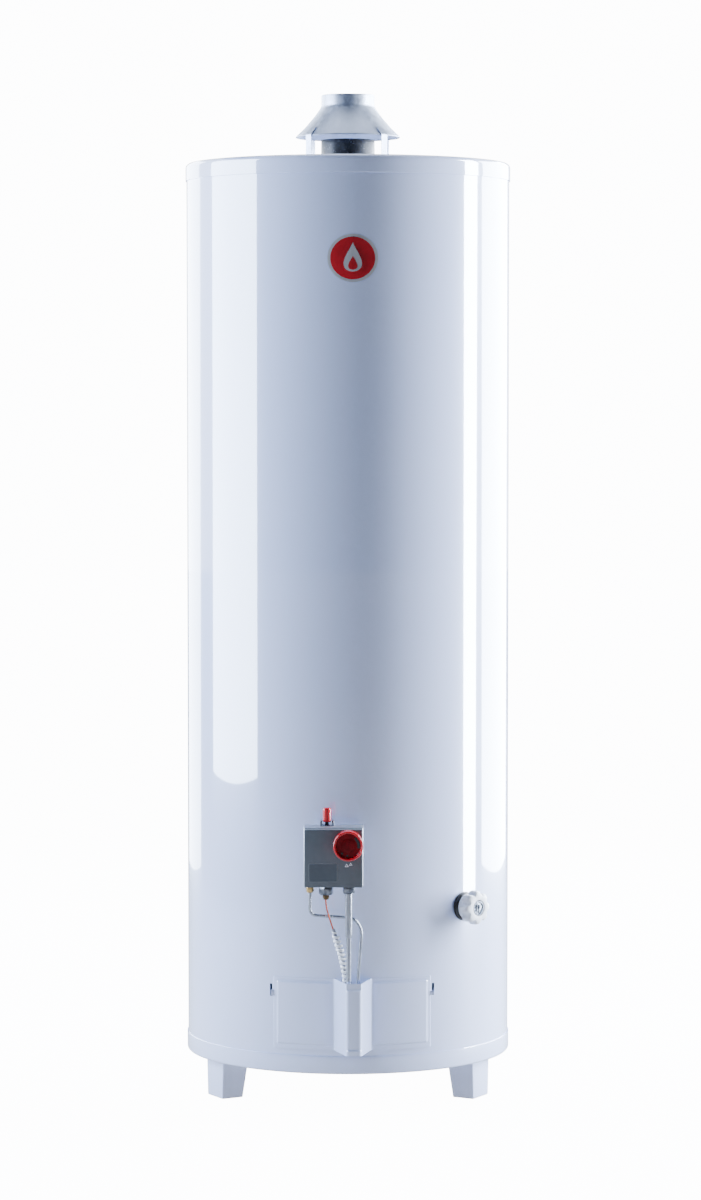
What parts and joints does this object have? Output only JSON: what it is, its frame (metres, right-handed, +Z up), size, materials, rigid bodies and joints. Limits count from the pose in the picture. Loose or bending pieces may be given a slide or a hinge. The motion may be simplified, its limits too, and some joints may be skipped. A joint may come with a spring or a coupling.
{
  "type": "tank water heater",
  "caption": "Upright gas-fired storage water heater on feet, with a draught hood, front gas valve, burner tubes, lift-off access door and drain valve.",
  "frame": {"origin": "on the floor, at the middle of the footprint that takes in the valve and knob; the tank's axis stands 48.75 mm behind it", "axes": "+Z up along the tank, the gas valve and access door face -Y"},
  "size_m": [0.46, 0.5576, 1.41],
  "materials": {
    "enamel": "gloss enamel",
    "galvanised": "zinc coated, satin",
    "steel": "plain mill finish",
    "black_steel": "scaled black steel",
    "glass_lining": "fired glass enamel",
    "mineral_wool": "loose fibre",
    "magnesium": "cast, dull",
    "dip_polymer": "natural polymer",
    "blue_plastic": "moulded",
    "red_plastic": "moulded, gloss",
    "badge_lacquer": "lacquered emblem",
    "valve_grey": "satin grey paint",
    "aluminium": "satin",
    "copper": "drawn copper",
    "brass": "machined",
    "woven_sleeve": "spiral wrapped sleeve",
    "white_plastic": "moulded"
  },
  "bodies": {
    "heater": {"base_ring": "enamel", "foot_left": "enamel", "foot_right": "enamel", "foot_rear": "enamel", "jacket": "enamel", "top_cover": "enamel", "foot_screw_left": "galvanised", "foot_screw_right": "galvanised", "foot_screw_rear": "galvanised", "cold_nipple": "galvanised", "hot_nipple": "galvanised", "draught_hood": "galvanised", "hood_leg_1": "galvanised", "hood_leg_2": "galvanised", "hood_leg_3": "galvanised", "hood_leg_4": "galvanised", "button_bracket": "galvanised", "main_nut": "galvanised", "thermocouple_nut": "galvanised", "burner_bracket": "galvanised", "heat_shield": "galvanised", "cold_socket": "steel", "hot_socket": "steel", "anode_socket": "steel", "drain_socket": "steel", "thermostat_socket": "steel", "flue_baffle": "steel", "inner_door": "steel", "burner": "steel", "pilot_burner": "steel", "flue_tube": "black_steel", "tank": "glass_lining", "side_insulation": "mineral_wool", "top_insulation": "mineral_wool", "anode_rod": "magnesium", "dip_tube": "dip_polymer", "cold_collar": "blue_plastic", "hot_collar": "red_plastic", "badge": "badge_lacquer", "valve_cover": "valve_grey", "valve_body": "aluminium", "main_burner_tube": "aluminium", "pilot_tube": "aluminium", "thermostat_probe": "copper", "thermocouple_lead": "copper", "thermocouple_tip": "copper", "pilot_nut": "brass", "thermocouple_collar": "brass", "burner_nozzle": "brass", "lead_sleeve": "woven_sleeve", "drain_valve_body": "white_plastic"},
    "temperature_knob": {"temperature_knob": "red_plastic"},
    "pilot_button": {"pilot_button": "red_plastic"},
    "access_door": {"access_door": "enamel"},
    "drain_stem": {"drain_stem": "aluminium"},
    "drain_handwheel": {"drain_handwheel": "white_plastic"}
  },
  "joints": [
    {"name": "temperature_knob_turn", "type": "hinge", "parent": "heater", "child": "temperature_knob", "pos_m": [0.00075, -0.26925, 0.38105], "axis": [0, -1, 0], "range_deg": [0, 270]},
    {"name": "pilot_button_press", "type": "slide", "parent": "heater", "child": "pilot_button", "axis": [0, 0, -1], "range_m": [0, 0.004], "stiffness_N_per_m": 300, "springref_m": -0.002},
    {"name": "access_door_pull", "type": "slide", "parent": "heater", "child": "access_door", "axis": [0.0297, -0.9996, 0], "range_m": [0, 0.12]},
    {"name": "drain_plug_travel", "type": "slide", "parent": "heater", "child": "drain_stem", "axis": [0.7009, -0.7132, 0], "range_m": [0, 0.003]},
    {"name": "drain_handwheel_turn", "type": "hinge", "parent": "drain_stem", "child": "drain_handwheel", "pos_m": [0.17593, -0.13028, 0.278], "axis": [0.7009, -0.7132, 0], "range_deg": [0, 720]}
  ],
  "couplings": [
    {"joint": "drain_plug_travel", "follows": "drain_handwheel_turn", "m_per_rad": 0.000238}
  ]
}
